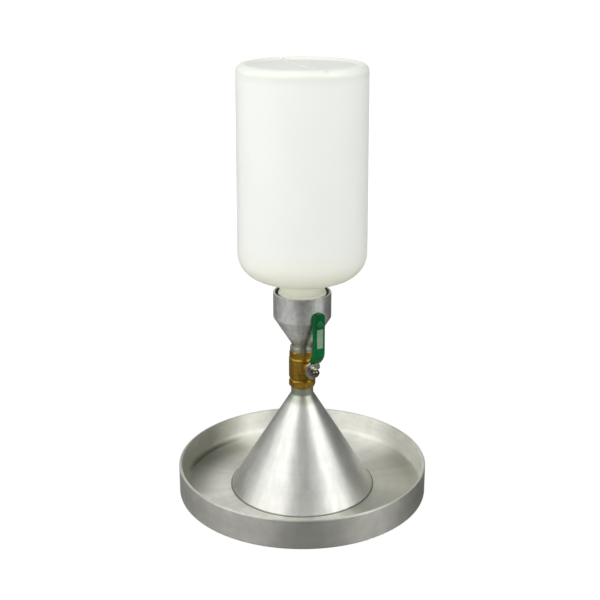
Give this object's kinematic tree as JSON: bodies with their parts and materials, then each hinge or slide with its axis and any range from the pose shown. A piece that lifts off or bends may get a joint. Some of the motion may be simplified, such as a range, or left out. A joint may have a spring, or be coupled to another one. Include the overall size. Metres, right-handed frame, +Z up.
{
  "type": "sand cone apparatus",
  "caption": "Sand cone density set: round tray with a centre hole, metal cone, brass ball valve with lever, threaded cup and inverted plastic bottle.",
  "frame": {"origin": "centre of the tray's underside", "axes": "+Z up along the cone, valve and bottle; the valve's stem and lever face -Y; +X is where the lever points when closed"},
  "size_m": [0.3, 0.3, 0.513],
  "materials": {
    "tray_aluminium": "satin, turned",
    "cone_aluminium": "satin, spun",
    "cast_aluminium": "cast and lightly turned",
    "valve_brass": "turned and dulled",
    "ball_chrome": "polished",
    "seal_ptfe": "smooth white",
    "gasket_rubber": "matt black",
    "lever_steel": "bright zinc plate",
    "grip_vinyl": "soft green vinyl",
    "bottle_plastic": "milky translucent"
  },
  "bodies": {
    "tray": {"base_tray": "tray_aluminium"},
    "cone_assembly": {"sand_cone": "cone_aluminium", "valve_body": "valve_brass", "valve_end_cap": "valve_brass", "ball_seat_lower": "seal_ptfe", "ball_seat_upper": "seal_ptfe", "stem_thrust_washer": "seal_ptfe", "stem_packing": "seal_ptfe", "gland_nut": "valve_brass", "bottle_cup": "cast_aluminium"},
    "lever": {"valve_lever": "lever_steel", "lever_grip": "grip_vinyl", "valve_stem": "lever_steel", "valve_ball": "ball_chrome", "lever_washer": "lever_steel", "lever_nut": "lever_steel"},
    "gasket": {"neck_gasket": "gasket_rubber"},
    "bottle": {"sand_bottle": "bottle_plastic"}
  },
  "joints": [
    {"name": "cone_lift", "type": "slide", "parent": "tray", "child": "cone_assembly", "axis": [0, 0, 1], "range_m": [0, 0.06]},
    {"name": "lever_turn", "type": "hinge", "parent": "cone_assembly", "child": "lever", "pos_m": [0, 0, 0.15977], "axis": [0, 1, 0], "range_deg": [0, 90]},
    {"name": "bottle_rise", "type": "slide", "parent": "cone_assembly", "child": "gasket", "axis": [0, 0, 1], "range_m": [0, 0.0136]},
    {"name": "bottle_turn", "type": "hinge", "parent": "gasket", "child": "bottle", "pos_m": [0, 0, 0.236], "axis": [0, 0, 1], "range_deg": [0, 810]}
  ],
  "couplings": [
    {"joint": "bottle_rise", "follows": "bottle_turn", "m_per_rad": 0.00095493}
  ]
}
